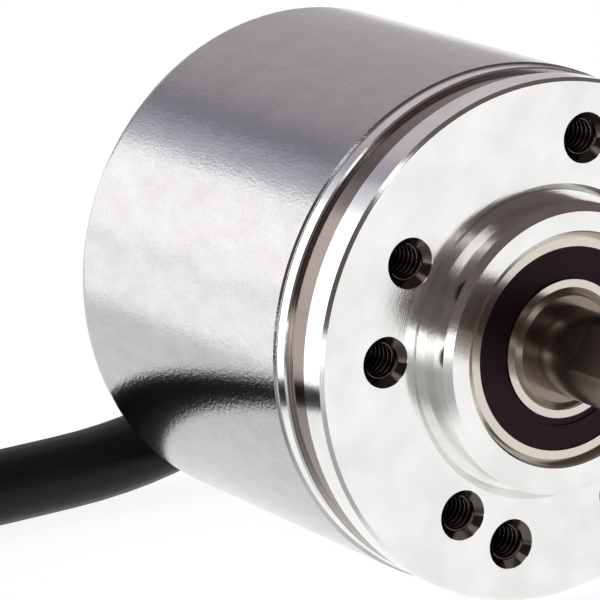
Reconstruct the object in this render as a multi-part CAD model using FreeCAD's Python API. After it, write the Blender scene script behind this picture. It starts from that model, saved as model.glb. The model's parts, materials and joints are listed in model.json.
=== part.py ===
"""Rotary encoder, 36 mm class: solid shaft, clamping flange, plain can and a fixed cable.

Frame, in millimetres: the shaft lies along Y with its free end towards -Y, +Z is up, and the
origin is where the shaft's axis meets the flat mounting face of the flange. Rearward is +Y.
The encoder lies on its side, on the lowest line of the can, with its cable along that floor.
"""
import FreeCAD, Part
import math
import os

Vector = FreeCAD.Vector
shaft_line = Vector(0, 1, 0)

# Flange: the mounting face is at y = 0.
flange_radius = 18.0
flange_thickness = 5.6
face_chamfer = 0.24
collar_radius = 10.0
collar_height = 2.6
collar_chamfer_radial = 0.57
collar_chamfer_axial = 0.3
relief_radius = 10.85
relief_depth = 0.42
relief_land = 0.35
clamp_groove_start = 2.27
clamp_groove_width = 2.25
clamp_groove_depth = 0.35
groove_break = 0.12
spigot_length = 6.0
hub_wall = 1.9
hub_lip = 0.9

# Threaded holes in the mounting face, M3.
tap_radius = 1.25
tap_depth = 6.3
countersink_radius = 1.75
small_circle_diameter = 26.0
large_circle_diameter = 28.0
shared_hole_angle = 56.8
large_circle_angle = 76.6

# Can.
can_step = 0.15
can_wall = 1.15
can_end_wall = 2.0
rear_room = 4.2
can_rim_fillet = 1.2
can_mouth_chamfer = 0.14
joint_gap = 0.05
slide_gap = 0.03

# Seal ring between the flange and the can.
seal_ring_section = 1.14
seal_groove_width = 1.9
seal_groove_offset = 1.5

# Shaft.
shaft_radius = 3.0
shaft_reach = 12.0
shaft_tip_chamfer = 0.3
journal_radius = 4.0
journal_chamfer = 0.34
flat_height = 5.5
flat_start = 3.3
flat_angle = 144.0
shaft_collar_radius = 4.7
shaft_collar_width = 1.0
disc_seat_length = 5.4

# Bearings: two sealed deep-groove bearings, 8 x 16 x 5.
bearing_radius = 8.0
bearing_width = 5.0
bearing_set_back = 0.42
bearing_spacing = 5.68
ring_chamfer = 0.4
bore_chamfer = 0.22
ball_radius = 1.19
ball_circle_radius = 6.0
ball_count = 9
ball_gap = 0.02
outer_land_radius = 6.85
inner_land_radius = 5.15
seal_seat_radius = 7.0
seal_lip_radius = 4.75
lip_gap = 0.03
bearing_seal_thickness = 0.6
bearing_seal_set_back = 0.1
cage_width = 1.8
cage_wall = 0.9
cage_gap = 0.03
bearing_step_radius = 7.1

# Bearing retention.
wave_washer_thickness = 0.5
circlip_thickness = 0.7
circlip_depth = 0.4
circlip_opening = 30.0

# Code disc and its hub.
hub_radius = 6.0
hub_height = 4.0
disc_radius = 12.0
disc_thickness = 0.8
disc_bore_gap = 0.05
clamp_reach = 2.0
clamp_lip_width = 1.6
clamp_lip_height = 0.7
clamp_plate = 0.8
disc_screw_radius = 1.0
disc_screw_head_radius = 1.9
disc_screw_head_height = 1.4
set_screw_radius = 1.0

# Boards and the light path.
led_board_thickness = 0.8
led_board_radius = 10.5
led_board_bore = 6.5
led_angle = 90.0
led_radius_position = 8.9
led_height = 1.2
led_size = 3.0
led_lens_radius = 1.0
led_lens_height = 0.4
tab_angle = 210.0
tab_width = 5.0
tab_reach = 13.9
led_screw_radius = 0.5
led_screw_head = 0.9
led_screw_head_height = 0.6
led_screw_length = 2.4
board_radius = 15.9
board_thickness = 1.2
board_set_back = 5.8
sensor_gap = 1.0
pillar_circle_radius = 14.0
pillar_radius = 1.6
pillar_stud_radius = 0.9
pillar_stud_length = 2.8
pillar_angles = (30.0, 150.0, 270.0)
board_screw_radius = 0.8
board_screw_length = 4.6
board_screw_head_radius = 1.5
board_screw_head_height = 1.1

# Cable, its moulded outlet and its inner leads.
cable_radius = 2.75
outlet_plug_radius = 3.2
outlet_lip_radius = 4.0
outlet_lip = 0.9
outlet_body_radius = 3.9
outlet_barrel = 2.4
outlet_nose_radius = 3.2
outlet_reach = 5.0
sleeve_length = 2.0
sleeve_radius = 3.0
sleeve_bore = 2.2
core_radius = 0.32
core_spacing = 0.8
core_count = 5

# The route of the cable from its outlet to its coil, and from the coil to the cut end:
# x, distance behind the can's end, height above the floor.
cable_run = [
    (6.4, 5.7, 11.45), (0.4, 6.9, 6.4), (-9.6, 6.7, 2.75), (-24.0, 5.3, 2.75),
    (-40.0, 4.2, 2.75), (-56.0, 3.8, 2.85), (-72.0, 3.9, 2.95), (-88.0, 4.3, 3.25),
    (-104.0, 4.7, 3.65),
]
tail_run = [
    (-143.5, -34.8, 14.65), (-143.9, -45.3, 13.15), (-143.2, -56.3, 9.15),
    (-141.8, -66.8, 4.95), (-140.6, -76.3, 2.95),
]
coil_place = (-104.0, -34.8)
coil_mean_radius = 34.0
coil_half_width = 8.35
coil_height = 16.7
coil_corner = 2.5
tie_thickness = 0.9
tie_width = 3.6
tie_angles = (20.0, 230.0)
bare_core_radius = 0.5
bare_core_length = 18.0
ferrule_radius = 0.62
ferrule_length = 6.0

# Places along Y that follow from the sizes above.
front_bearing_start = -collar_height + bearing_set_back
front_bearing_end = front_bearing_start + bearing_width
rear_bearing_start = front_bearing_end + bearing_spacing
rear_bearing_end = rear_bearing_start + bearing_width
washer_end = rear_bearing_end + wave_washer_thickness
circlip_end = washer_end + circlip_thickness
spigot_end = flange_thickness + spigot_length
hub_end = circlip_end + hub_lip
can_radius = flange_radius + can_step
can_bore_radius = can_radius - can_wall
can_start = flange_thickness + joint_gap
shaft_tip = -collar_height - shaft_reach
shaft_collar_end = rear_bearing_end + shaft_collar_width
shaft_end = shaft_collar_end + disc_seat_length
disc_front = shaft_collar_end + hub_height
disc_back = disc_front + disc_thickness
clamp_radius = shaft_radius + clamp_reach
clamp_end = disc_back + clamp_lip_height + clamp_plate
board_front = disc_back + board_set_back
board_back = board_front + board_thickness
can_floor = board_back + rear_room
can_end = can_floor + can_end_wall
floor_height = -can_radius
cable_route = [(x, can_end + y, floor_height + z) for x, y, z in cable_run]
tail_route = [(x, can_end + y, floor_height + z) for x, y, z in tail_run]
coil_centre = (coil_place[0], can_end + coil_place[1])
outlet_along = (Vector(*cable_route[1]) - Vector(*cable_route[0])).normalize()
outlet_elbow = Vector(*cable_route[0]) - outlet_along * outlet_reach
outlet_place = (outlet_elbow.x, outlet_elbow.z)
coil_bottom = floor_height + tie_thickness

parts = {}


def turned(profile):
    """Solid of revolution about the shaft's axis, from (radius, y) corners."""
    corners = [Vector(radius, y, 0) for radius, y in profile]
    face = Part.Face(Part.makePolygon(corners + corners[:1]))
    return face.revolve(Vector(0, 0, 0), shaft_line, 360)


def rod(radius, start, end, place=(0.0, 0.0)):
    """Cylinder along Y, at place (x, z)."""
    return Part.makeCylinder(radius, end - start, Vector(place[0], start, place[1]), shaft_line)


def ring(outer, inner, start, end):
    return rod(outer, start, end).cut(rod(inner, start - 1, end + 1))


def polar(radius, angle):
    """Place (x, z) at an angle in degrees from +X towards +Z."""
    turn = math.radians(angle)
    return radius * math.cos(turn), radius * math.sin(turn)


def block(size, place, start, end, angle=0.0):
    """Box of size (along the angle, across it), centred on place (x, z)."""
    length, width = size
    solid = Part.makeBox(length, end - start, width, Vector(-length / 2, start, -width / 2))
    solid.rotate(Vector(0, 0, 0), shaft_line, -angle)
    solid.translate(Vector(place[0], 0, place[1]))
    return solid


def rim_edges(solid, radius, y):
    """Circular edges about the shaft's axis, of one radius and at one y."""
    found = []
    for edge in solid.Edges:
        curve = edge.Curve
        if isinstance(curve, Part.Circle) and abs(curve.Radius - radius) < 1e-4:
            if abs(curve.Center.y - y) < 1e-4:
                found.append(edge)
    return found


def group(solids):
    return Part.makeCompound(list(solids))


def hole_angles():
    """Angles of the threaded holes: four and three share one hole, and two stand further out."""
    small = {round(shared_hole_angle + step * 90, 3) for step in range(4)}
    small |= {round(shared_hole_angle + step * 120, 3) for step in range(3)}
    large = {large_circle_angle, large_circle_angle + 180}
    return sorted(small), sorted(large)


def make_flange():
    bore = bearing_radius
    mouth = bore + 0.13
    groove_end = clamp_groove_start + clamp_groove_width
    groove_radius = flange_radius - clamp_groove_depth
    spigot_radius = can_bore_radius - slide_gap
    seal_start = flange_thickness + seal_groove_offset
    seal_end = seal_start + seal_groove_width
    seal_floor = can_bore_radius - seal_ring_section - 0.01
    hub_outer = bore + hub_wall
    profile = [
        (mouth, -collar_height),
        (collar_radius - collar_chamfer_radial, -collar_height),
        (collar_radius, -collar_height + collar_chamfer_axial),
        (collar_radius, relief_depth),
        (collar_radius + relief_land, relief_depth),
        (relief_radius, 0),
        (flange_radius - face_chamfer, 0),
        (flange_radius, face_chamfer),
        (flange_radius, clamp_groove_start - groove_break),
        (flange_radius - groove_break, clamp_groove_start),
        (groove_radius, clamp_groove_start),
        (groove_radius, groove_end),
        (flange_radius - groove_break, groove_end),
        (flange_radius, groove_end + groove_break),
        (flange_radius, flange_thickness - groove_break),
        (flange_radius - groove_break, flange_thickness),
        (spigot_radius, flange_thickness),
        (spigot_radius, seal_start),
        (seal_floor, seal_start),
        (seal_floor, seal_end),
        (spigot_radius, seal_end),
        (spigot_radius, spigot_end - 0.3),
        (spigot_radius - 0.3, spigot_end),
        (hub_outer, spigot_end),
        (hub_outer, hub_end),
        (bore, hub_end),
        (bore, circlip_end),
        (bore + circlip_depth, circlip_end),
        (bore + circlip_depth, washer_end),
        (bore, washer_end),
        (bore, rear_bearing_start),
        (bearing_step_radius, rear_bearing_start),
        (bearing_step_radius, front_bearing_end),
        (bore, front_bearing_end),
        (bore, -collar_height + 0.13),
    ]
    solid = turned(profile)
    small_angles, large_angles = hole_angles()
    places = [polar(small_circle_diameter / 2, angle) for angle in small_angles]
    places += [polar(large_circle_diameter / 2, angle) for angle in large_angles]
    for x, z in places:
        sink = countersink_radius - tap_radius
        cone = Part.makeCone(countersink_radius, tap_radius, sink, Vector(x, 0, z), shaft_line)
        tip = Part.makeCone(tap_radius, 0, tap_radius * 0.58, Vector(x, tap_depth, z), shaft_line)
        solid = solid.cut(rod(tap_radius, 0, tap_depth, (x, z)).fuse(tip)).cut(cone)
    for angle in pillar_angles:
        place = polar(pillar_circle_radius, angle)
        solid = solid.cut(rod(pillar_stud_radius, spigot_end - pillar_stud_length, spigot_end, place))
    for angle in (0.0, 180.0):
        place = polar(bore + hub_wall / 2, angle)
        solid = solid.cut(rod(led_screw_radius, hub_end - led_screw_length, hub_end, place))
    return solid


def make_can():
    solid = turned([
        (can_bore_radius, can_start), (can_radius - can_mouth_chamfer, can_start),
        (can_radius, can_start + can_mouth_chamfer), (can_radius, can_end),
        (0, can_end), (0, can_floor), (can_bore_radius, can_floor),
    ])
    solid = solid.makeFillet(can_rim_fillet, rim_edges(solid, can_radius, can_end))
    inner_fillet = max(can_rim_fillet - can_wall, 0.5)
    solid = solid.makeFillet(inner_fillet, rim_edges(solid, can_bore_radius, can_floor))
    return solid.cut(rod(outlet_plug_radius, can_floor - 1, can_end + 1, outlet_place))


def make_shaft():
    step = front_bearing_start - 0.1
    solid = turned([
        (0, shaft_tip), (shaft_radius - shaft_tip_chamfer, shaft_tip),
        (shaft_radius, shaft_tip + shaft_tip_chamfer), (shaft_radius, step),
        (journal_radius - journal_chamfer, step),
        (journal_radius, step + journal_chamfer), (journal_radius, rear_bearing_end),
        (shaft_collar_radius, rear_bearing_end), (shaft_collar_radius, shaft_collar_end),
        (shaft_radius, shaft_collar_end), (shaft_radius, shaft_end), (0, shaft_end),
    ])
    flat_distance = flat_height - shaft_radius
    flat_end = -collar_height - flat_start
    x, z = polar(flat_distance + shaft_radius, flat_angle)
    size = (2 * shaft_radius, 4 * shaft_radius)
    solid = solid.cut(block(size, (x, z), shaft_tip - 1, flat_end, flat_angle))
    return solid.cut(rod(disc_screw_radius, disc_screw_start(), shaft_end + 1))


def disc_screw_start():
    return shaft_end - 4.8


def bearing(name, start, inner_body_radius):
    """Rings, balls, cage and seals of one bearing, whose front face is at start."""
    end = start + bearing_width
    middle = (start + end) / 2
    pitch = ball_circle_radius
    race = ball_radius + ball_gap
    seat = bearing_seal_thickness + bearing_seal_set_back
    channel = Part.makeTorus(pitch, race, Vector(0, middle, 0), shaft_line)
    outer = turned([
        (bearing_radius, start + ring_chamfer), (bearing_radius - ring_chamfer, start),
        (seal_seat_radius, start), (seal_seat_radius, start + seat),
        (outer_land_radius, start + seat), (outer_land_radius, end - seat),
        (seal_seat_radius, end - seat), (seal_seat_radius, end),
        (bearing_radius - ring_chamfer, end), (bearing_radius, end - ring_chamfer),
    ])
    inner = turned([
        (inner_body_radius, start + bore_chamfer), (inner_body_radius + bore_chamfer, start),
        (seal_lip_radius, start), (seal_lip_radius, start + seat),
        (inner_land_radius, start + seat), (inner_land_radius, end - seat),
        (seal_lip_radius, end - seat), (seal_lip_radius, end),
        (inner_body_radius + bore_chamfer, end), (inner_body_radius, end - bore_chamfer),
    ])
    parts[name + "_outer_ring"] = outer.cut(channel)
    parts[name + "_inner_ring"] = inner.cut(channel)
    balls = []
    pockets = []
    for index in range(ball_count):
        x, z = polar(pitch, 360.0 * index / ball_count)
        centre = Vector(x, middle, z)
        balls.append(Part.makeSphere(ball_radius, centre))
        pockets.append(Part.makeSphere(ball_radius + cage_gap, centre))
    parts[name + "_balls"] = group(balls)
    cage = ring(pitch + cage_wall / 2, pitch - cage_wall / 2,
                middle - cage_width / 2, middle + cage_width / 2)
    parts[name + "_cage"] = cage.cut(group(pockets))
    lip = seal_lip_radius + lip_gap
    step = seal_lip_radius + 0.55
    near = start + bearing_seal_set_back
    far = near + bearing_seal_thickness
    front_seal = turned([
        (lip, near + 0.1), (step, near + 0.1), (step, near), (seal_seat_radius, near),
        (seal_seat_radius, far), (lip, far),
    ])
    back_seal = front_seal.mirror(Vector(0, middle, 0), shaft_line)
    parts[name + "_front_seal"] = front_seal
    parts[name + "_back_seal"] = back_seal


def make_spacer():
    return ring(shaft_collar_radius, journal_radius, front_bearing_end, rear_bearing_start)


def make_wave_washer():
    return ring(bearing_radius - 0.1, bearing_radius - 1.8, rear_bearing_end, washer_end)


def make_circlip():
    solid = ring(bearing_radius + circlip_depth, bearing_radius - 1.3, washer_end, circlip_end)
    x, z = polar(bearing_radius, -90)
    width = 2 * bearing_radius * math.sin(math.radians(circlip_opening / 2))
    solid = solid.cut(block((width, 4), (x, z), washer_end - 1, circlip_end + 1))
    for side in (-1, 1):
        place = polar(bearing_radius - 0.45, -90 + side * (circlip_opening / 2 + 6))
        solid = solid.cut(rod(0.4, washer_end - 1, circlip_end + 1, place))
    return solid


def make_disc_hub():
    solid = ring(hub_radius, shaft_radius, shaft_collar_end, disc_front)
    return solid.cut(set_screw_shape(hub_radius + 1))


def set_screw_shape(reach):
    height = (shaft_collar_end + disc_front) / 2
    start = Vector(shaft_radius, height, 0)
    return Part.makeCylinder(set_screw_radius, reach - shaft_radius, start, Vector(1, 0, 0))


def make_set_screw():
    solid = set_screw_shape(hub_radius - 0.4)
    height = (shaft_collar_end + disc_front) / 2
    socket = Part.makeCylinder(0.5, 1.0, Vector(hub_radius - 1.4, height, 0), Vector(1, 0, 0))
    return solid.cut(socket)


def make_code_disc():
    return ring(disc_radius, shaft_radius + disc_bore_gap, disc_front, disc_back)


def make_disc_clamp():
    lip_end = disc_back + clamp_lip_height
    solid = ring(clamp_radius, disc_screw_radius + 0.05, disc_back, clamp_end)
    return solid.cut(rod(clamp_radius - clamp_lip_width, disc_back - 1, lip_end))


def make_disc_screw():
    head_end = clamp_end + disc_screw_head_height
    solid = rod(disc_screw_radius, disc_screw_start(), clamp_end)
    solid = solid.fuse(rod(disc_screw_head_radius, clamp_end, head_end))
    return solid.cut(hexagon(0.8, head_end - 0.8, head_end + 1)).removeSplitter()


def hexagon(radius, start, end, place=(0.0, 0.0)):
    corners = []
    for index in range(7):
        x, z = polar(radius, 60 * index)
        corners.append(Vector(place[0] + x, start, place[1] + z))
    return Part.Face(Part.makePolygon(corners)).extrude(Vector(0, end - start, 0))


def make_light_parts():
    start = hub_end
    end = start + led_board_thickness
    board = rod(led_board_radius, start, end)
    reach = tab_reach / 2
    board = board.fuse(block((tab_reach, tab_width), polar(reach, tab_angle), start, end, tab_angle))
    board = board.removeSplitter().cut(rod(led_board_bore, start - 1, end + 1))
    screws = []
    for angle in (0.0, 180.0):
        place = polar(bearing_radius + hub_wall / 2, angle)
        board = board.cut(rod(led_screw_radius, start - 1, end + 1, place))
        shank = rod(led_screw_radius, hub_end - led_screw_length, end, place)
        head = rod(led_screw_head, end, end + led_screw_head_height, place)
        slot = block((3 * led_screw_head, 0.3), place, end + 0.3, end + 2, angle)
        screws.append(shank.fuse(head).cut(slot))
    parts["led_board"] = board
    parts["led_board_screws"] = group(screws)
    place = polar(led_radius_position, led_angle)
    emitter = block((led_size, led_size + 1), place, end, end + led_height, led_angle)
    lens = rod(led_lens_radius, end + led_height, end + led_height + led_lens_height, place)
    parts["led_emitter"] = emitter.fuse(lens).removeSplitter()
    leads = []
    for side in (-1, 1):
        place = polar(tab_reach - 0.8, tab_angle + side * 4)
        leads.append(rod(core_radius, end, board_front, place))
    parts["led_leads"] = group(leads)
    place = polar(led_radius_position, led_angle)
    parts["optical_receiver"] = block((led_size, led_size + 2), place,
                                      disc_back + sensor_gap, board_front, led_angle)


def make_board_parts():
    board = rod(board_radius, board_front, board_back)
    pillars = []
    screws = []
    for angle in pillar_angles:
        place = polar(pillar_circle_radius, angle)
        board = board.cut(rod(board_screw_radius, board_front - 1, board_back + 1, place))
        stud = rod(pillar_stud_radius, spigot_end - pillar_stud_length, spigot_end, place)
        pillar = rod(pillar_radius, spigot_end, board_front, place).fuse(stud)
        screw_start = board_back - board_screw_length
        pillars.append(pillar.cut(rod(board_screw_radius, screw_start, board_front + 1, place)))
        head_end = board_back + board_screw_head_height
        shank = rod(board_screw_radius, screw_start, board_back, place)
        head = rod(board_screw_head_radius, board_back, head_end, place)
        cross = block((2.0, 0.4), place, head_end - 0.6, head_end + 1, angle)
        cross = cross.fuse(block((0.4, 2.0), place, head_end - 0.6, head_end + 1, angle))
        screws.append(shank.fuse(head).cut(cross))
    parts["main_board"] = board
    parts["board_pillars"] = group(pillars)
    parts["board_screws"] = group(screws)
    parts["signal_chip"] = block((6, 6), (-6.5, 4.5), board_back, board_back + 1.0)
    parts["line_driver"] = block((6.2, 4), (3.5, 5.0), board_back, board_back + 1.5)
    capacitors = []
    for x, z in ((-1.2, 9.5), (1.6, 9.5), (4.4, 9.5), (-10.5, -1.5), (-7.5, -1.5), (-4.5, -8.5)):
        capacitors.append(block((2.0, 1.25), (x, z), board_back, board_back + 0.9))
    parts["capacitors"] = group(capacitors)


def make_wiring():
    connector_end = board_back + 2.2
    x, z = outlet_place
    height = core_count * core_spacing + 1.0
    connector = block((5.0, height), (x - 8.5, z), board_back, connector_end)
    parts["lead_connector"] = connector
    sleeve_front = can_floor - outlet_lip - sleeve_length
    sleeve = rod(sleeve_radius, sleeve_front, sleeve_front + sleeve_length, outlet_place)
    parts["crimp_sleeve"] = sleeve.cut(rod(sleeve_bore, sleeve_front - 1, can_floor, outlet_place))
    cores = []
    start_x = x - 6.0
    level = board_back + 0.9
    for index in range(core_count):
        side = (index - (core_count - 1) / 2) * core_spacing
        bend = 0.9
        reach = x - 0.4 * abs(side)
        path = Part.Wire([
            Part.LineSegment(Vector(start_x, level, z + side),
                             Vector(reach - bend, level, z + side)).toShape(),
            Part.Arc(Vector(reach - bend, level, z + side),
                     Vector(reach - bend * (1 - math.sin(math.pi / 4)),
                            level + bend * (1 - math.cos(math.pi / 4)), z + side),
                     Vector(reach, level + bend, z + side)).toShape(),
            Part.LineSegment(Vector(reach, level + bend, z + side),
                             Vector(reach, can_floor - outlet_lip, z + side)).toShape(),
        ])
        profile = Part.Wire([Part.Circle(Vector(start_x, level, z + side),
                                         Vector(1, 0, 0), core_radius).toShape()])
        cores.append(path.makePipeShell([profile], True, True))
    parts["inner_leads"] = group(cores)


def make_outlet():
    """Moulded elbow: plug and lip in the can's end wall, elbow, barrel and tapered nose."""
    along, elbow = outlet_along, outlet_elbow
    solid = rod(outlet_plug_radius, can_floor, can_end, outlet_place)
    solid = solid.fuse(rod(outlet_lip_radius, can_floor - outlet_lip, can_floor, outlet_place))
    solid = solid.fuse(rod(outlet_body_radius, can_end, elbow.y, outlet_place))
    solid = solid.fuse(Part.makeSphere(outlet_body_radius, elbow))
    barrel = Part.makeCylinder(outlet_body_radius, outlet_barrel, elbow, along)
    nose = Part.makeCone(outlet_body_radius, outlet_nose_radius, outlet_reach - outlet_barrel,
                         elbow + along * outlet_barrel, along)
    return solid.fuse(barrel).fuse(nose).removeSplitter()


def tube(points, radius):
    """Round tube along straight runs joined by the largest tangent arcs that they allow."""
    corners = [Vector(*point) for point in points]
    edges = []
    here = corners[0]
    length = 0.0
    radii = []
    for before, corner, after in zip(corners, corners[1:], corners[2:]):
        incoming = (corner - before).normalize()
        outgoing = (after - corner).normalize()
        turn = incoming.getAngle(outgoing)
        trim = 0.45 * min((corner - before).Length, (after - corner).Length)
        bend_radius = trim / math.tan(turn / 2)
        radii.append(round(bend_radius, 1))
        first, last = corner - incoming * trim, corner + outgoing * trim
        inward = (outgoing - incoming).normalize()
        sagitta = bend_radius / math.cos(turn / 2) - bend_radius
        middle = corner + inward * sagitta
        edges.append(Part.LineSegment(here, first).toShape())
        edges.append(Part.Arc(first, middle, last).toShape())
        length += (first - here).Length + bend_radius * turn
        here = last
    edges.append(Part.LineSegment(here, corners[-1]).toShape())
    length += (corners[-1] - here).Length
    start_direction = (corners[1] - corners[0]).normalize()
    profile = Part.Wire([Part.Circle(corners[0], start_direction, radius).toShape()])
    solid = Part.Wire(edges).makePipeShell([profile], True, True)
    section = math.pi * radius ** 2
    print("bend radii", radii, "length", round(length, 1),
          "volume ratio", round(solid.Volume / (section * length), 4))
    return solid


def make_coil(lead, tail):
    """Closed ring with rounded corners: the outer shape of the wound cable."""
    x, y = coil_centre
    inner = coil_mean_radius - coil_half_width
    outer = coil_mean_radius + coil_half_width
    base = Vector(x, y, coil_bottom)
    solid = Part.makeCylinder(outer, coil_height, base)
    solid = solid.cut(Part.makeCylinder(inner, coil_height + 2, base - Vector(0, 0, 1)))
    rims = [edge for edge in solid.Edges if isinstance(edge.Curve, Part.Circle)]
    return solid.makeFillet(coil_corner, rims).cut(lead).cut(tail)


def make_ties():
    ties = []
    half = coil_half_width + tie_thickness
    for angle in tie_angles:
        outer = Part.makeBox(2 * half, tie_width, coil_height + 2 * tie_thickness,
                             Vector(-half, -tie_width / 2, 0))
        inner = Part.makeBox(2 * coil_half_width + 0.1, tie_width + 2, coil_height,
                             Vector(-coil_half_width - 0.1, -tie_width / 2 - 1, tie_thickness))
        band = outer.cut(inner)
        band.translate(Vector(coil_mean_radius, 0, 0))
        head = Part.makeBox(5.0, tie_width + 1.4, 3.6,
                            Vector(coil_mean_radius + half, -tie_width / 2 - 0.7, 4.0))
        band = band.fuse(head).removeSplitter()
        band.rotate(Vector(0, 0, 0), Vector(0, 0, 1), angle)
        band.translate(Vector(coil_centre[0], coil_centre[1], floor_height))
        ties.append(band)
    return group(ties)


def make_core_ends():
    end = Vector(*tail_route[-1])
    along = (end - Vector(*tail_route[-2])).normalize()
    side = along.cross(Vector(0, 0, 1)).normalize()
    upward = side.cross(along)
    cores = []
    ferrules = []
    for index in range(core_count):
        x, z = polar(1.4, 360 * index / core_count + 18)
        start = end + side * x + upward * z - along * 0.2
        direction = (along * 6 + side * x * 0.9 + upward * z * 0.12).normalize()
        direction.z = max(direction.z, -0.02)
        direction.normalize()
        core = Part.makeCylinder(bare_core_radius, bare_core_length, start, direction)
        cores.append(core.cut(parts["cable_tail"]))
        tip = start + direction * bare_core_length
        ferrules.append(Part.makeCylinder(ferrule_radius, ferrule_length, tip, direction))
    parts["core_ends"] = group(cores)
    parts["core_ferrules"] = group(ferrules)


parts["flange"] = make_flange()
parts["housing_can"] = make_can()
parts["shaft"] = make_shaft()
bearing("front_bearing", front_bearing_start, journal_radius)
bearing("rear_bearing", rear_bearing_start, journal_radius)
parts["bearing_spacer"] = make_spacer()
parts["wave_washer"] = make_wave_washer()
parts["bore_circlip"] = make_circlip()
seal_middle = flange_thickness + seal_groove_offset + seal_groove_width / 2
parts["housing_seal_ring"] = Part.makeTorus(can_bore_radius - seal_ring_section / 2 - 0.01,
                                            seal_ring_section / 2, Vector(0, seal_middle, 0),
                                            shaft_line)
parts["disc_hub"] = make_disc_hub()
parts["hub_set_screw"] = make_set_screw()
parts["code_disc"] = make_code_disc()
parts["disc_clamp"] = make_disc_clamp()
parts["disc_screw"] = make_disc_screw()
make_light_parts()
make_board_parts()
make_wiring()
parts["cable_outlet"] = make_outlet()
parts["cable_lead"] = tube(cable_route, cable_radius)
parts["cable_tail"] = tube(tail_route, cable_radius)
parts["cable_coil"] = make_coil(parts["cable_lead"], parts["cable_tail"])
parts["coil_ties"] = make_ties()
make_core_ends()

os.makedirs("parts", exist_ok=True)
for name, shape in parts.items():
    shape.exportStep("parts/" + name + ".step")
    if not shape.isValid() or shape.Volume <= 0:
        print("fault in", name)
print(len(parts), "nodes")
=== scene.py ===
import json
import math

import bpy
from mathutils import Matrix, Vector

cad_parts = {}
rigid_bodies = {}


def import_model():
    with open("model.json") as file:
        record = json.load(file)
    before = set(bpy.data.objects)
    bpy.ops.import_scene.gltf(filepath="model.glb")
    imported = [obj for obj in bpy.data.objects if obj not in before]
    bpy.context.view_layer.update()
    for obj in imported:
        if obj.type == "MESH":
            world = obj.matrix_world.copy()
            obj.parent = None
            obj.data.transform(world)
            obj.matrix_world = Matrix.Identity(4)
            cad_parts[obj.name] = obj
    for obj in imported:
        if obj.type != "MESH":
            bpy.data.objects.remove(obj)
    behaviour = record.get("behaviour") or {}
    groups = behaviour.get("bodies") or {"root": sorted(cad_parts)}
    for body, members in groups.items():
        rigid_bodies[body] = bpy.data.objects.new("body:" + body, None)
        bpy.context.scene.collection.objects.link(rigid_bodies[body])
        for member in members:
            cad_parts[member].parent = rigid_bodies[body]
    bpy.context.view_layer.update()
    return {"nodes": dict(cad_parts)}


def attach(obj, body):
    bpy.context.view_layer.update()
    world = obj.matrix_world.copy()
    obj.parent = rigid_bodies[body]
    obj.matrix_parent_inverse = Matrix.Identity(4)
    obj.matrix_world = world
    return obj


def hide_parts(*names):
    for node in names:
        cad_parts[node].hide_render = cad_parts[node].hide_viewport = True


bpy.ops.object.select_all(action="SELECT")  # the cube, lamp and camera of a new file
bpy.ops.object.delete()
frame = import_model()
print("frame loaded")


# Small helpers.

def linearColor(value):
    # Turns a hex colour to linear. Any other value stays as it is.
    if not isinstance(value, str):
        return value
    parts = [int(value[i:i + 2], 16) / 255 for i in (1, 3, 5)]
    linear = [p / 12.92 if p <= 0.04045 else ((p + 0.055) / 1.055) ** 2.4 for p in parts]
    return (*linear, 1.0)


def addNode(tree, kind, inputs=None, stops=None, **settings):
    node = tree.nodes.new(kind)
    for name, value in settings.items():
        setattr(node, name, value)
    for name, value in (inputs or {}).items():
        if isinstance(value, bpy.types.NodeSocket):
            tree.links.new(value, node.inputs[name])
        else:
            node.inputs[name].default_value = linearColor(value)
    for number, (position, color) in enumerate(stops or []):
        elements = node.color_ramp.elements
        element = elements[number] if number < 2 else elements.new(position)
        element.position = position
        element.color = linearColor(color)
    return node


def makeMaterial(name, values):
    material = bpy.data.materials.new(name)
    material.use_nodes = True
    shader = material.node_tree.nodes["Principled BSDF"]
    for key, value in values.items():
        shader.inputs[key].default_value = linearColor(value)
    return material, material.node_tree, shader


def paint(material, nodes):
    for node in nodes:
        mesh = frame["nodes"][node].data
        mesh.materials.clear()
        mesh.materials.append(material)


def aroundShaft(tree):
    # How far a point is from the shaft line, and its X, Y and Z. Y runs along the shaft.
    axes = addNode(tree, "ShaderNodeSeparateXYZ",
                   {"Vector": addNode(tree, "ShaderNodeTexCoord").outputs["Object"]}).outputs
    across = addNode(tree, "ShaderNodeCombineXYZ", {"X": axes["X"], "Y": axes["Z"]})
    radius = addNode(tree, "ShaderNodeVectorMath", {0: across.outputs["Vector"]}, operation="LENGTH")
    return radius.outputs["Value"], axes


def addGrain(tree, shader, perMm, depth, strength, detail=2.0, roughness=0.5,
             stretch=(1, 1, 1), turned=False):
    # Relief with so many grains, or lathe rings, to the millimetre. A second one lies on the first.
    if turned:
        radius, axes = aroundShaft(tree)
        place = addNode(tree, "ShaderNodeCombineXYZ", {"X": radius, "Y": axes["Y"]})
    else:
        place = addNode(tree, "ShaderNodeVectorMath",
                        {0: addNode(tree, "ShaderNodeTexCoord").outputs["Object"], 1: stretch},
                        operation="MULTIPLY")
    noise = addNode(tree, "ShaderNodeTexNoise", {
        "Vector": place.outputs[0], "Scale": perMm * 1000, "Detail": detail, "Roughness": roughness})
    bump = addNode(tree, "ShaderNodeBump", {
        "Height": noise.outputs["Fac"], "Distance": depth / 1000, "Strength": strength})
    for link in shader.inputs["Normal"].links:
        tree.links.new(link.from_socket, bump.inputs["Normal"])
    tree.links.new(bump.outputs["Normal"], shader.inputs["Normal"])
    return noise.outputs["Fac"]


def inZone(tree, limits):
    # 1 where each value lies between its two limits in millimetres, else 0.
    share = 1.0
    for value, (low, high) in limits:
        for limit, test in ((low, "GREATER_THAN"), (high, "LESS_THAN")):
            passed = addNode(tree, "ShaderNodeMath", {0: value, 1: limit / 1000}, operation=test)
            share = addNode(tree, "ShaderNodeMath", {0: passed.outputs[0], 1: share},
                            operation="MULTIPLY").outputs[0]
    return share


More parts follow.
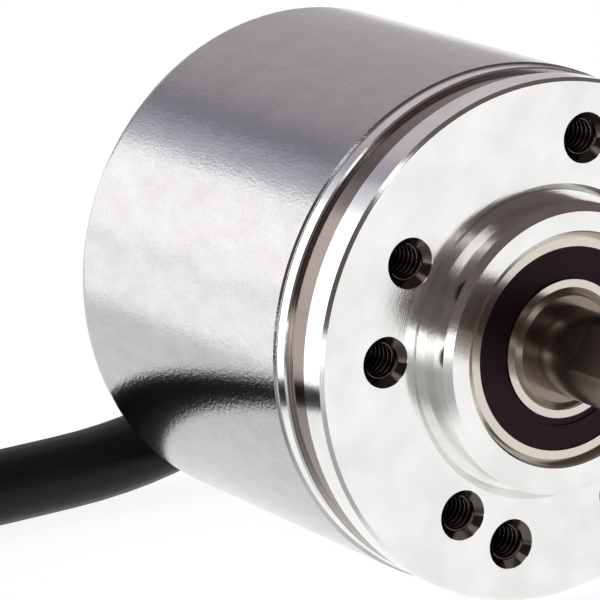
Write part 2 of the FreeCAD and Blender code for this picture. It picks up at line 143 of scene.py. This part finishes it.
# The can: drawn aluminium, tumbled. A soft mirror with a fine mottled skin, drawn as coarse as
# it needs to be to show.

can = {
    "shader": {"Base Color": "#bbbbbd", "Roughness": 0.12, "Metallic": 1.0},
    "skin": {"perMm": 5.2, "depth": 0.016, "strength": 0.8, "detail": 3.0,
             "roughness": 0.6, "stretch": (1.0, 0.5, 1.0)},
    "dents": {"perMm": 0.78, "depth": 0.03, "strength": 0.12, "detail": 4.0,
              "roughness": 0.6, "stretch": (1.0, 0.45, 1.0)},
    "worn": [(0.25, "#b4b3b5"), (0.5, "#bbbabc"), (0.75, "#c1c1c3")],
    "specks": [(0.34, "#a3a0a6"), (0.46, "#ffffff"), (0.66, "#ffffff"), (0.74, "#e9e9ee")],
    "speckShare": 0.12,
}

canMetal, tree, shader = makeMaterial("tumbled aluminium", can["shader"])
skin = addGrain(tree, shader, **can["skin"])
dents = addGrain(tree, shader, **can["dents"])
worn = addNode(tree, "ShaderNodeValToRGB", {"Fac": dents}, can["worn"])
specks = addNode(tree, "ShaderNodeValToRGB", {"Fac": skin}, can["specks"])
speckled = addNode(tree, "ShaderNodeMixRGB", {
    "Fac": can["speckShare"], "Color1": worn.outputs["Color"], "Color2": specks.outputs["Color"],
}, blend_type="MULTIPLY")
tree.links.new(speckled.outputs[0], shader.inputs["Base Color"])
paint(canMetal, ["housing_can"])


# The flange: aluminium off the lathe. Bright, with fine rings that draw the light out in fans.
# Real rings are finer than 9 to the millimetre. They are drawn coarser so that they show.

flange = {
    "shader": {"Base Color": "#f0f0ee", "Roughness": 0.13, "Metallic": 1.0},
    "rings": {"perMm": 9.0, "depth": 0.006, "strength": 0.5, "turned": True},
    "grain": {"perMm": 3.0, "depth": 0.008, "strength": 0.3},
    "cloudsPerMm": 0.26, "cloudDetail": 3.0, "clouds": [(0.35, "#e9e9e7"), (0.65, "#f5f5f3")],
    # Painted shade in the mounting holes and their countersinks: darker between two radii, behind the
    # front face.
    "holeRadius": (11.2, 15.8), "holeDepth": (0.02, 40.0), "holeColor": "#5a5250",
    # The floor of the clamp groove is painted brown grey: a painted reflection of shade.
    "grooveRadius": (17.2, 17.72), "grooveDepth": (2.28, 4.51), "grooveColor": "#857a75",
}

turnedMetal, tree, shader = makeMaterial("turned aluminium", flange["shader"])
addGrain(tree, shader, **flange["rings"])
addGrain(tree, shader, **flange["grain"])
radius, axes = aroundShaft(tree)
clouds = addNode(tree, "ShaderNodeTexNoise", {
    "Vector": addNode(tree, "ShaderNodeTexCoord").outputs["Object"],
    "Scale": flange["cloudsPerMm"] * 1000, "Detail": flange["cloudDetail"]})
color = addNode(tree, "ShaderNodeValToRGB", {"Fac": clouds.outputs["Fac"]}, flange["clouds"])
# Painted shade in the holes, and a painted reflection of shade on the groove floor.
for zone in ("hole", "groove"):
    inside = inZone(tree, [(radius, flange[zone + "Radius"]), (axes["Y"], flange[zone + "Depth"])])
    color = addNode(tree, "ShaderNodeMixRGB", {
        "Fac": inside, "Color1": color.outputs[0], "Color2": flange[zone + "Color"]})
tree.links.new(color.outputs[0], shader.inputs["Base Color"])
paint(turnedMetal, ["flange", "disc_hub", "disc_clamp", "bearing_spacer"])


# Finishes of one colour with one grain, its depth in millimetres. The finest grains are drawn
# as coarse as they need to be to break the shine.

bearings = ["front_bearing_", "rear_bearing_"]
finishes = {
    # Threads cut in aluminium, painted dull brown grey: painted shade of the holes they sit in.
    "threaded aluminium": {
        "shader": {"Base Color": "#6f6763", "Roughness": 0.3, "Metallic": 1.0},
        "grain": {"perMm": 6.0, "depth": 0.01, "strength": 0.4}},
    # Ground bearing steel: a warm, bright mirror with grinding rings.
    "bearing steel": {
        "shader": {"Base Color": "#d6d0c6", "Roughness": 0.16, "Metallic": 1.0},
        "grain": {"perMm": 14.0, "depth": 0.004, "strength": 0.4, "turned": True},
        "nodes": [b + part for b in bearings for part in ("outer_ring", "inner_ring", "balls")]},
    # Ground stainless steel: brown grey, with rings that stretch each highlight.
    "ground stainless steel": {
        "shader": {"Base Color": "#8b7f77", "Roughness": 0.24, "Metallic": 1.0},
        "grain": {"perMm": 11.0, "depth": 0.005, "strength": 0.5, "turned": True},
        "nodes": ["shaft"]},
    # Moulded nitrile rubber of the seals: near black with a faint red sheen.
    "nitrile rubber": {
        "shader": {"Base Color": "#0e070a", "Roughness": 0.4,
                   "Specular IOR Level": 0.22, "Specular Tint": "#ffd0dc"},
        "grain": {"perMm": 5.2, "depth": 0.01, "strength": 0.3},
        "nodes": [b + part for b in bearings for part in ("front_seal", "back_seal")]},
    # Extruded PVC of the cable: black and half matt, with shallow ripples.
    "cable jacket PVC": {
        "shader": {"Base Color": "#0d0c0e", "Roughness": 0.36, "Specular IOR Level": 0.19},
        "grain": {"perMm": 0.9, "depth": 0.06, "strength": 0.35, "detail": 3.0,
                  "stretch": (1.0, 1.6, 1.6)}},
    # Moulded rubber of the cable outlet: black, matt, finely pitted.
    "moulded outlet rubber": {
        "shader": {"Base Color": "#19171a", "Roughness": 0.45},
        "grain": {"perMm": 3.5, "depth": 0.01, "strength": 0.3},
        "nodes": ["cable_outlet"]},
    # Moulded nylon of the cable ties: black with a soft shine.
    "nylon": {
        "shader": {"Base Color": "#1c1b1d", "Roughness": 0.4},
        "grain": {"perMm": 2.5, "depth": 0.01, "strength": 0.2, "detail": 1.0},
        "nodes": ["coil_ties"]},
    # Tinned copper of the end sleeves and lamp leads: pale and slightly uneven.
    "tinned copper": {
        "shader": {"Base Color": "#d5d3cd", "Roughness": 0.25, "Metallic": 1.0},
        "grain": {"perMm": 3.0, "depth": 0.01, "strength": 0.2, "detail": 1.0},
        "nodes": ["core_ferrules", "led_leads"]},
    # Pressed steel of the ball cages: grey, smoothed by the press.
    "pressed steel": {
        "shader": {"Base Color": "#b9b4ab", "Roughness": 0.3, "Metallic": 1.0},
        "grain": {"perMm": 4.0, "depth": 0.008, "strength": 0.3, "detail": 1.0},
        "nodes": [b + "cage" for b in bearings]},
    # Tempered spring steel: dark grey and dull.
    "spring steel": {
        "shader": {"Base Color": "#7c7a78", "Roughness": 0.35, "Metallic": 1.0},
        "grain": {"perMm": 3.0, "depth": 0.008, "strength": 0.3},
        "nodes": ["wave_washer", "bore_circlip"]},
    # Zinc plated steel: light, slightly blue and satin.
    "zinc plated steel": {
        "shader": {"Base Color": "#c4c6c9", "Roughness": 0.28, "Metallic": 1.0},
        "grain": {"perMm": 5.0, "depth": 0.006, "strength": 0.3},
        "nodes": ["board_pillars", "board_screws", "led_board_screws", "hub_set_screw", "disc_screw"]},
    # Moulded nitrile sealing ring: matt black.
    "sealing ring rubber": {
        "shader": {"Base Color": "#141315", "Roughness": 0.5},
        "grain": {"perMm": 4.0, "depth": 0.008, "strength": 0.3, "detail": 1.0},
        "nodes": ["housing_seal_ring"]},
    # Turned brass: yellow with fine rings.
    "brass": {
        "shader": {"Base Color": "#d8b56a", "Roughness": 0.25, "Metallic": 1.0},
        "grain": {"perMm": 9.0, "depth": 0.005, "strength": 0.4, "turned": True},
        "nodes": ["crimp_sleeve"]},
    # Epoxy moulding compound of the chips: black, matt and grainy.
    "moulding compound": {
        "shader": {"Base Color": "#1b1b1d", "Roughness": 0.5},
        "grain": {"perMm": 6.0, "depth": 0.008, "strength": 0.3},
        "nodes": ["signal_chip", "line_driver", "optical_receiver"]},
    # Fired ceramic of the capacitors: tan and smooth.
    "capacitor ceramic": {
        "shader": {"Base Color": "#b08a62", "Roughness": 0.4},
        "grain": {"perMm": 6.0, "depth": 0.004, "strength": 0.3, "detail": 1.0},
        "nodes": ["capacitors"]},
    # Moulded natural nylon of the connector: cream, softly shining.
    "connector nylon": {
        "shader": {"Base Color": "#e9e4d6", "Roughness": 0.4},
        "grain": {"perMm": 3.0, "depth": 0.006, "strength": 0.3, "detail": 1.0},
        "nodes": ["lead_connector"]},
    # Extruded insulation of the thin leads: red, half matt.
    "lead insulation": {
        "shader": {"Base Color": "#b8352c", "Roughness": 0.4},
        "grain": {"perMm": 3.0, "depth": 0.006, "strength": 0.3, "detail": 1.0},
        "nodes": ["inner_leads", "core_ends"]},
    # Cast clear epoxy of the light source: a pale, smooth lens.
    "lamp resin": {
        "shader": {"Base Color": "#d9e3ea", "Roughness": 0.12, "IOR": 1.5,
                   "Transmission Weight": 0.5},
        "nodes": ["led_emitter"]},
}

materials = {}
for name, finish in finishes.items():
    materials[name], tree, shader = makeMaterial(name, finish["shader"])
    if "grain" in finish:
        addGrain(tree, shader, **finish["grain"])
    paint(materials[name], finish.get("nodes", []))


# The code disc: polished glass with a ring of chromium lines, one every 2 degrees. The real
# lines are far finer. They are drawn this coarse so that they show.

disc = {
    "shader": {"Base Color": "#cfd8d6", "Roughness": 0.05, "IOR": 1.52},
    "track": (11.2, 13.4), "lineAngle": 2.0, "glassColor": "#cfd8d6", "lineColor": "#2b2d30",
}

discGlass, tree, shader = makeMaterial("coded glass", disc["shader"])
radius, axes = aroundShaft(tree)
angle = addNode(tree, "ShaderNodeMath", {0: axes["Z"], 1: axes["X"]}, operation="ARCTAN2")
turns = addNode(tree, "ShaderNodeMath", {0: angle.outputs[0], 1: 180 / math.pi / disc["lineAngle"]},
                operation="MULTIPLY")
share = addNode(tree, "ShaderNodeMath", {0: turns.outputs[0]}, operation="FRACT")
bar = addNode(tree, "ShaderNodeMath", {0: share.outputs[0], 1: 0.5}, operation="GREATER_THAN")
lines = addNode(tree, "ShaderNodeMath",
                {0: inZone(tree, [(radius, disc["track"])]), 1: bar.outputs[0]},
                operation="MULTIPLY").outputs[0]
color = addNode(tree, "ShaderNodeValToRGB", {"Fac": lines},
                [(0.0, disc["glassColor"]), (1.0, disc["lineColor"])])
tree.links.new(color.outputs["Color"], shader.inputs["Base Color"])
tree.links.new(lines, shader.inputs["Metallic"])
paint(discGlass, ["code_disc"])


# The boards: epoxy glass laminate under green lacquer. The weave just shows through, with
# 2.2 threads to the millimetre.

boards = {
    "shader": {"Base Color": "#1f5a3c", "Roughness": 0.35},
    "weavePerMm": 2.2, "weaveDark": "#1d5537", "weaveLight": "#236343",
}

laminate, tree, shader = makeMaterial("epoxy glass laminate", boards["shader"])
weave = addNode(tree, "ShaderNodeTexChecker", {
    "Vector": addNode(tree, "ShaderNodeTexCoord").outputs["Object"],
    "Color1": boards["weaveDark"], "Color2": boards["weaveLight"],
    "Scale": boards["weavePerMm"] * 1000})
tree.links.new(weave.outputs["Color"], shader.inputs["Base Color"])
paint(laminate, ["main_board", "led_board"])
print("materials made")


# The cable: lead, coil and tail as one line, in millimetres and degrees.

cable = {
    "thickness": 5.5, "roundSteps": 6, "lengthSteps": 6,
    "lead": [(6.4, 38.2, -6.7), (0.4, 39.4, -11.75), (-9.6, 39.2, -15.4), (-24.0, 37.8, -15.4),
             (-40.0, 36.7, -15.4), (-56.0, 36.3, -15.3), (-72.0, 36.4, -15.2), (-88.0, 36.8, -14.9)],
    "tail": [(-143.9, -12.8, -5.0), (-143.2, -23.8, -9.0),
             (-141.8, -34.3, -13.2), (-140.6, -43.8, -15.2)],
    "coilCentre": (-104.0, -2.3), "outerTurn": 39.5, "pitch": 5.5, "lowestRow": -14.5,
    "turns": 6.25, "pointsPerTurn": 24, "startAngle": 90,
    "splineInside": 0.9915,  # the spline runs this much inside its points
    # Where the cable moves to the next turn: angle run so far, columns inward, rows up.
    "moves": [(290, 1, 0), (650, 1, 0), (950, 0, 1), (1250, -1, 0), (1610, -1, 0), (1910, 0, 1)],
    "moveAngle": 60,
}


def coilPoint(run):
    inward = up = 0.0
    for start, columns, rows in cable["moves"]:
        share = min(max((run - start) / cable["moveAngle"], 0), 1)
        share = share * share * (3 - 2 * share)  # eases in and out
        inward += columns * share
        up += rows * share
    radius = (cable["outerTurn"] - inward * cable["pitch"]) / cable["splineInside"]
    angle = math.radians(cable["startAngle"] + run)
    return (cable["coilCentre"][0] + radius * math.cos(angle),
            cable["coilCentre"][1] + radius * math.sin(angle),
            cable["lowestRow"] + up * cable["pitch"])


steps = int(cable["turns"] * cable["pointsPerTurn"]) + 1
coil = [coilPoint(number * 360 / cable["pointsPerTurn"]) for number in range(steps)]
points = cable["lead"] + coil + cable["tail"]

curve = bpy.data.curves.new("cableLine", "CURVE")
curve.dimensions = "3D"
curve.bevel_depth = cable["thickness"] / 2 / 1000
curve.bevel_resolution = cable["roundSteps"]
curve.use_fill_caps = True
curve.resolution_u = cable["lengthSteps"]
spline = curve.splines.new("NURBS")
spline.points.add(len(points) - 1)
for point, place in zip(spline.points, points):
    point.co = (*[value / 1000 for value in place], 1.0)
spline.order_u = 3
spline.use_endpoint_u = True
cord = bpy.data.objects.new("cableLine", curve)
bpy.context.scene.collection.objects.link(cord)
curve.materials.append(materials["cable jacket PVC"])
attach(cord, "encoder_body")
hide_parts("cable_lead", "cable_coil", "cable_tail")
print("cable laid")


# Thread ridges in the mounting holes, one piece for each hole, in millimetres and degrees.

threads = {
    # Piece name, circle radius, and the angle of each hole around the shaft.
    "holes": [("thread", 13.0, [56.8, 146.8, 176.8, 236.8, 296.8, 326.8]),
              ("farThread", 14.0, [76.6, 256.6])],
    "pitch": 0.5, "turns": 11, "crest": 1.04, "ridge": 0.155, "start": 0.56,
    "stepsPerTurn": 24,
}


def cutThread(name, circle, angle):
    bpy.ops.object.select_all(action="DESELECT")
    ridge = threads["ridge"] / 1000
    bpy.ops.mesh.primitive_circle_add(
        vertices=3, radius=ridge, location=(threads["crest"] / 1000 + ridge, 0, 0),
        rotation=(math.pi / 2, -math.pi / 2, 0))
    piece = bpy.context.object
    piece.name = name
    bpy.ops.object.transform_apply(location=True, rotation=True, scale=True)
    helix = piece.modifiers.new("helix", "SCREW")
    helix.axis = "Z"
    helix.screw_offset = threads["pitch"] / 1000
    helix.iterations = threads["turns"]
    helix.steps = helix.render_steps = threads["stepsPerTurn"]
    bpy.ops.object.modifier_apply(modifier="helix")
    bpy.ops.object.mode_set(mode="EDIT")
    bpy.ops.mesh.select_all(action="SELECT")
    bpy.ops.mesh.fill_holes(sides=4)
    bpy.ops.mesh.select_all(action="SELECT")
    bpy.ops.mesh.normals_make_consistent(inside=False)
    bpy.ops.object.mode_set(mode="OBJECT")
    turn = math.radians(angle)
    piece.location = (circle * math.cos(turn) / 1000, threads["start"] / 1000,
                      circle * math.sin(turn) / 1000)
    piece.rotation_euler = (-math.pi / 2, 0, 0)
    bpy.ops.object.transform_apply(location=True, rotation=True, scale=True)
    # The ridges carry the painted shade of the holes.
    piece.data.materials.append(materials["threaded aluminium"])
    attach(piece, "encoder_body")


for name, circle, angles in threads["holes"]:
    for number, angle in enumerate(angles):
        cutThread(f"{name}{number + 1}", circle, angle)
print("threads cut")


# The floor glows, so that it stays pale next to bright metal, and more so on the far left,
# which the can mirrors. A patch in front on the left is dimmer, for a darker mirror image.
# Each pair is where a change starts and where it is complete, in millimetres.

ground = {
    "drop": 18.15, "width": 6.0,
    "shader": {"Base Color": "#8a8a8a", "Roughness": 0.8, "Specular IOR Level": 0.0,
               "Emission Color": "#ffffff"},
    "glow": 0.9, "farGlow": 1.5, "farLeft": (-48, -57),
    "dimShare": 0.62, "dimLeft": (-14, -21), "dimFront": (3, -2), "dimReach": (150, 70),
}

bpy.ops.mesh.primitive_plane_add(size=ground["width"], location=(0, 0, -ground["drop"] / 1000))
floor = bpy.context.object
floor.name = "floor"
floorPaint, tree, shader = makeMaterial("pale floor", ground["shader"])
place = addNode(tree, "ShaderNodeTexCoord").outputs["Object"]
axes = addNode(tree, "ShaderNodeSeparateXYZ", {"Vector": place}).outputs
reach = addNode(tree, "ShaderNodeVectorMath", {0: place}, operation="LENGTH").outputs["Value"]
start, end = ground["farLeft"]
bright = addNode(tree, "ShaderNodeMapRange", {
    "Value": axes["X"], "From Min": start / 1000, "From Max": end / 1000,
    "To Min": ground["glow"], "To Max": ground["farGlow"]})
dim = ground["dimShare"]
for value, change in ((axes["X"], "dimLeft"), (axes["Y"], "dimFront"), (reach, "dimReach")):
    start, end = ground[change]
    part = addNode(tree, "ShaderNodeMapRange", {
        "Value": value, "From Min": start / 1000, "From Max": end / 1000})
    dim = addNode(tree, "ShaderNodeMath", {0: part.outputs["Result"], 1: dim},
                  operation="MULTIPLY").outputs[0]
kept = addNode(tree, "ShaderNodeMath", {0: 1.0, 1: dim}, operation="SUBTRACT")
lit = addNode(tree, "ShaderNodeMath", {0: bright.outputs["Result"], 1: kept.outputs[0]},
              operation="MULTIPLY")
tree.links.new(lit.outputs[0], shader.inputs["Emission Strength"])
floor.data.materials.append(floorPaint)


# The studio around it: a dark room in front, and behind the flange bands of light that the
# metal mirrors, by the angle around the shaft line in degrees.

top, band, white = (0.56, 0.53, 0.55), (0.36, 0.335, 0.39), (1.78, 1.74, 1.75)
room = (0.11, 0.09, 0.088)
studio = {
    "bands": [(0, top, 1.1), (8, top, 1.0), (75, top, 1.0), (96, top, 0.85),
              (105, band, 1.0), (112, band, 1.0),
              (117, (0.56, 0.55, 0.62), 1.0), (127, (0.78, 0.77, 0.84), 1.0),
              (131, white, 0.62), (134, white, 1.0), (165, white, 1.0), (180, white, 0.93)],
    "room": [(0, room, 1.3), (180, room, 1.0)],
    "edge": (-0.05, 0.15),  # from the room to the bands, as the Y of the direction
    "keyPlace": (-0.12, -0.28, 0.32), "keyAim": (0, 0.01, 0), "keySize": (0.22, 0.14),
    "keyPower": 0.12,
}

world = bpy.data.worlds.new("studio")
bpy.context.scene.world = world
world.use_nodes = True
tree = world.node_tree
background = tree.nodes["Background"]
axes = addNode(tree, "ShaderNodeSeparateXYZ",
               {"Vector": addNode(tree, "ShaderNodeTexCoord").outputs["Generated"]}).outputs
angle = addNode(tree, "ShaderNodeMath", {0: axes["Z"], 1: axes["X"]}, operation="ARCTAN2")
share = addNode(tree, "ShaderNodeMath", {0: angle.outputs[0], 1: math.pi}, operation="DIVIDE")
front, rear = [
    addNode(tree, "ShaderNodeValToRGB", {"Fac": share.outputs[0]},
            [(degrees / 180, (*[c * level for c in color], 1.0))
             for degrees, color, level in studio[side]])
    for side in ("room", "bands")]
edge = addNode(tree, "ShaderNodeMapRange", {
    "Value": axes["Y"], "From Min": studio["edge"][0], "From Max": studio["edge"][1]})
mixed = addNode(tree, "ShaderNodeMixRGB", {
    "Fac": edge.outputs["Result"],
    "Color1": front.outputs["Color"], "Color2": rear.outputs["Color"]})
tree.links.new(mixed.outputs[0], background.inputs["Color"])
background.inputs["Strength"].default_value = 1.0

bpy.ops.object.light_add(type="AREA", location=studio["keyPlace"])
key = bpy.context.object
key.name = "keyLight"
key.data.shape = "RECTANGLE"
key.data.size, key.data.size_y = studio["keySize"]
key.data.energy = studio["keyPower"]
key.rotation_mode = "QUATERNION"
key.rotation_quaternion = (Vector(studio["keyAim"]) - key.location).to_track_quat("-Z", "Y")


# The camera, in metres.

view = {
    "place": (-0.166844, -0.240916, 0.078810), "lens": 270.31, "sensor": 36,
    "right": (0.84912, -0.52754, -0.02658), "up": (0.15364, 0.19851, 0.96798),
    "forward": (0.50537, 0.82601, -0.24961), "clip": (0.01, 20),
}

camera = bpy.data.objects.new("camera", bpy.data.cameras.new("camera"))
bpy.context.scene.collection.objects.link(camera)
camera.data.lens = view["lens"]
camera.data.sensor_width = view["sensor"]
camera.data.clip_start, camera.data.clip_end = view["clip"]
aim = Matrix([view["right"], view["up"], [-v for v in view["forward"]]]).transposed()
camera.matrix_world = Matrix.Translation(view["place"]) @ aim.to_4x4()
bpy.context.scene.camera = camera
bpy.context.scene.view_settings.view_transform = "Standard"
print("studio set")
